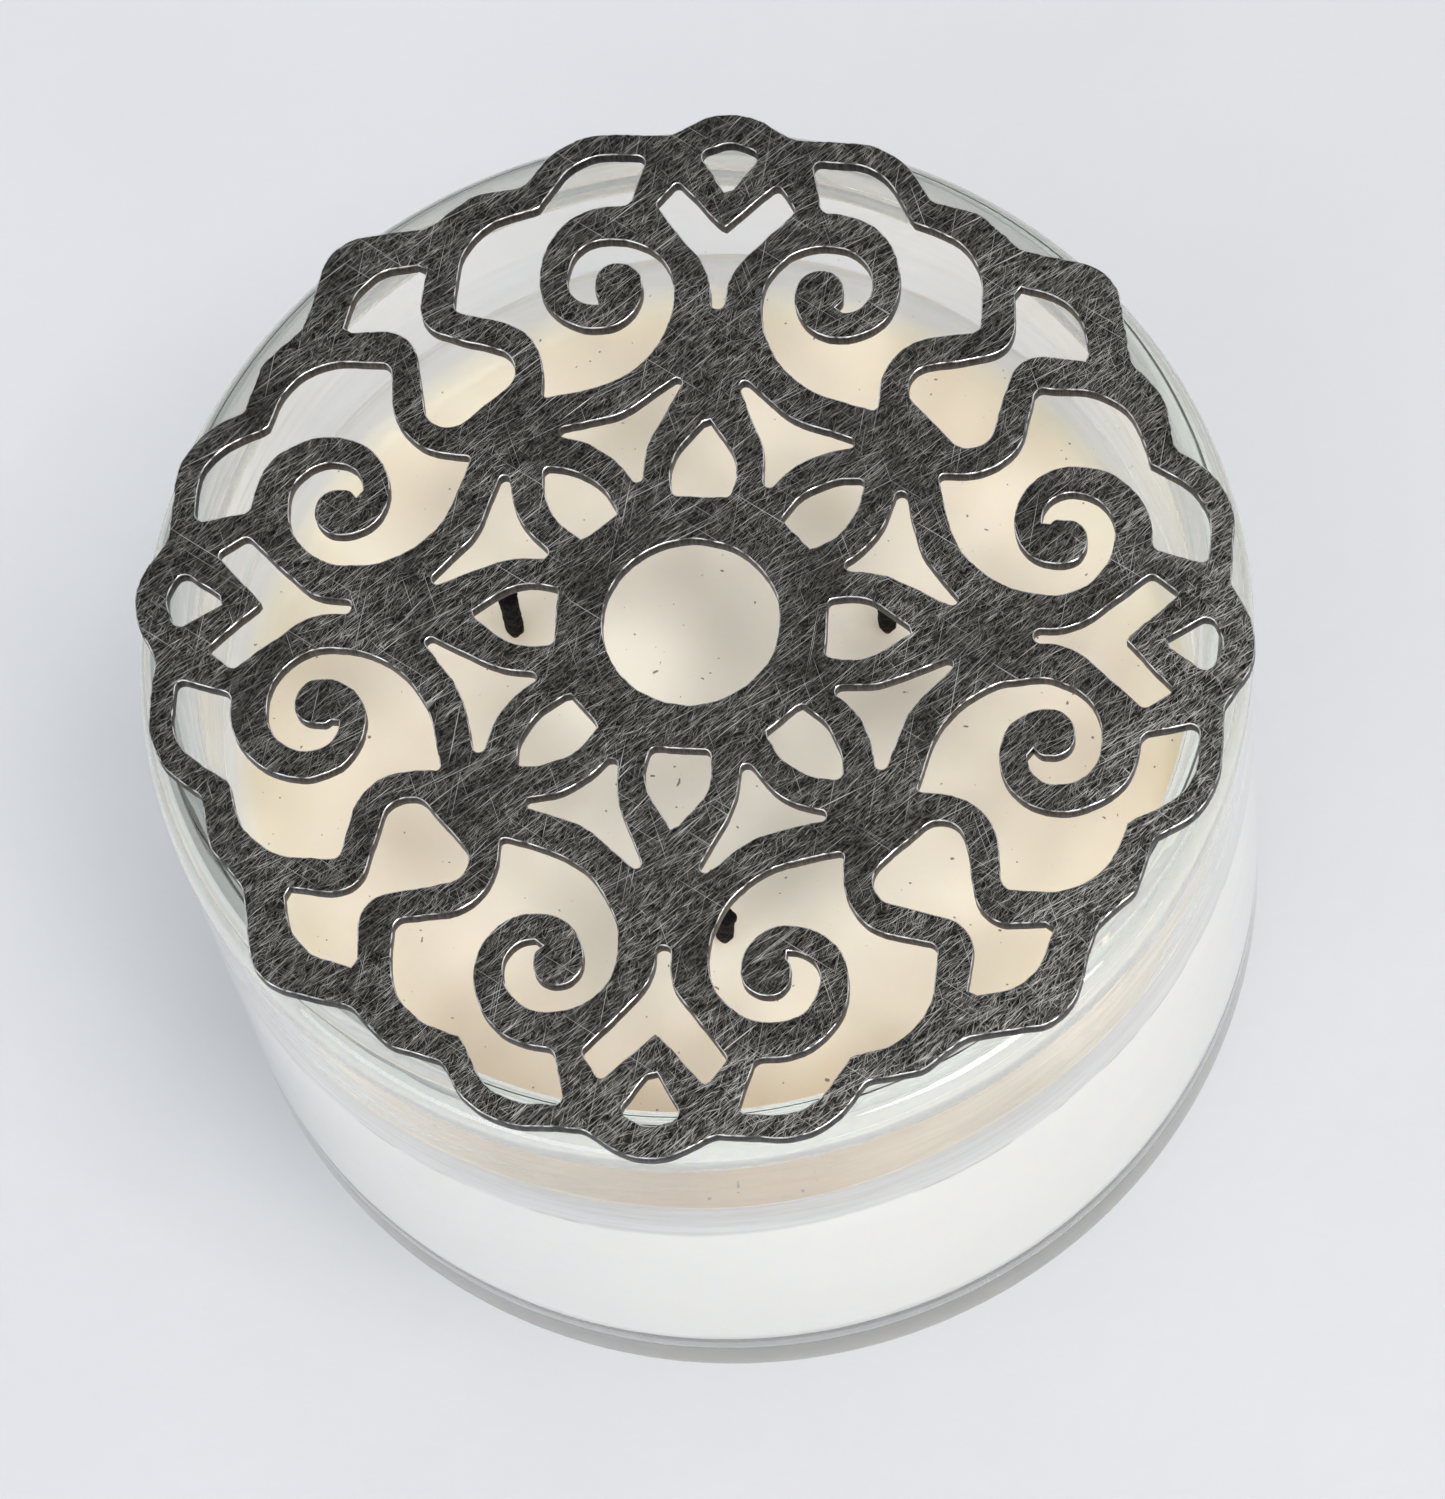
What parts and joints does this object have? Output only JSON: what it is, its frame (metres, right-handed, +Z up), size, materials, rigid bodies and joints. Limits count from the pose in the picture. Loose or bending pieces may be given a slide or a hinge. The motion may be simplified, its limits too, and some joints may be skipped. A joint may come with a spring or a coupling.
{
  "type": "three-wick jar candle with pierced topper",
  "caption": "Wide clear glass jar filled with cream wax and several wicks, with a flat pierced steel scrollwork topper resting loose on the rim.",
  "frame": {"origin": "centre of the jar's foot, on the surface that it stands on", "axes": "+Z up the jar's axis; the topper's four main lobes lie along +X, +Y, -X and -Y"},
  "size_m": [0.1014, 0.1014, 0.0676],
  "materials": {
    "jar_glass": "clear pressed glass, thick rounded rim and heel",
    "candle_wax": "cast wax, slightly translucent, satin",
    "sticker_foam": "adhesive foam disc",
    "tab_tinplate": "stamped tinplate",
    "wick_cotton": "braided cotton, charred where it stands free",
    "topper_steel": "dark sanded steel with bright cut edges"
  },
  "bodies": {
    "jar": {"glass_jar": "jar_glass", "wax_fill": "candle_wax", "wick_sticker_1": "sticker_foam", "wick_sustainer_1": "tab_tinplate", "wick_1": "wick_cotton", "wick_sticker_2": "sticker_foam", "wick_sustainer_2": "tab_tinplate", "wick_2": "wick_cotton", "wick_sticker_3": "sticker_foam", "wick_sustainer_3": "tab_tinplate", "wick_3": "wick_cotton"},
    "topper": {"topper_plate": "topper_steel"}
  },
  "joints": [
    {"name": "topper_lift", "type": "slide", "parent": "jar", "child": "topper", "axis": [0, 0, 1], "range_m": [0, 0.06]}
  ]
}
